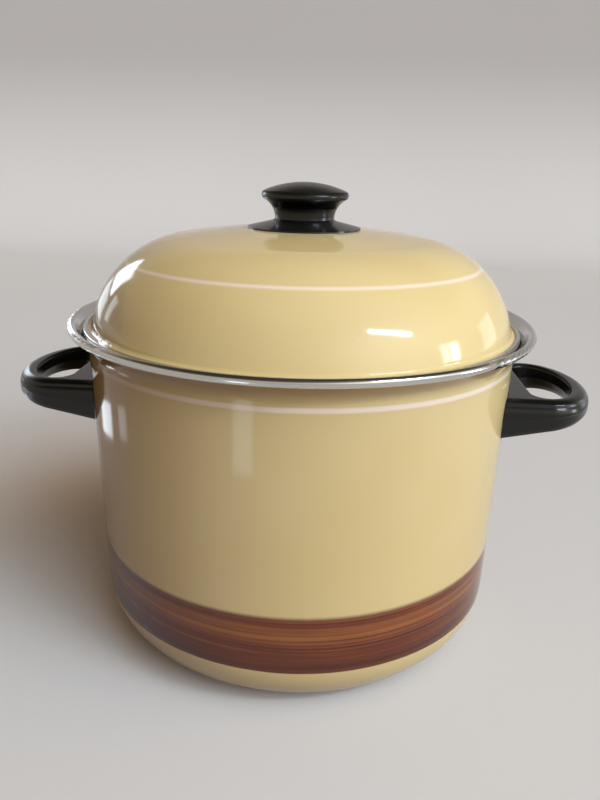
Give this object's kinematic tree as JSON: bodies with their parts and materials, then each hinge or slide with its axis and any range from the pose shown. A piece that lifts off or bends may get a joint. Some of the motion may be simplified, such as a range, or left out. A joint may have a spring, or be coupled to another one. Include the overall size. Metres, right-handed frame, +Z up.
{
  "type": "stockpot with lid",
  "caption": "Deep round enamelled steel stockpot with a flared steel rim, oval loop side handles and a domed lid with a mushroom knob, for boiling and stewing.",
  "frame": {"origin": "centre of the flat base, on the surface the pot stands on", "axes": "+Z up along the pot's axis, handles along +X and -X"},
  "size_m": [0.3358, 0.2634, 0.2622],
  "materials": {
    "pot_enamel": "glossy yellow vitreous enamel with a brushed brown band",
    "lid_enamel": "glossy yellow vitreous enamel",
    "rim_steel": "polished stainless steel",
    "black_resin": "glossy black moulded phenolic resin",
    "insert_brass": "turned brass",
    "fastener_steel": "plated steel",
    "seal_rubber": "grey heat-resistant rubber"
  },
  "bodies": {
    "pot": {"pot_shell": "pot_enamel", "rim_ring": "rim_steel", "right_handle": "black_resin", "right_handle_bracket": "fastener_steel", "right_handle_screw": "fastener_steel", "right_handle_washer": "fastener_steel", "left_handle": "black_resin", "left_handle_bracket": "fastener_steel", "left_handle_screw": "fastener_steel", "left_handle_washer": "fastener_steel"},
    "lid": {"lid_shell": "lid_enamel", "lid_edge_ring": "rim_steel", "knob": "black_resin", "knob_base_plate": "black_resin", "knob_insert": "insert_brass", "knob_screw": "fastener_steel", "knob_lock_washer": "fastener_steel", "knob_seal_washer": "seal_rubber"}
  },
  "joints": [
    {"name": "lid_lift", "type": "slide", "parent": "pot", "child": "lid", "axis": [0, 0, 1], "range_m": [0, 0.2]}
  ]
}
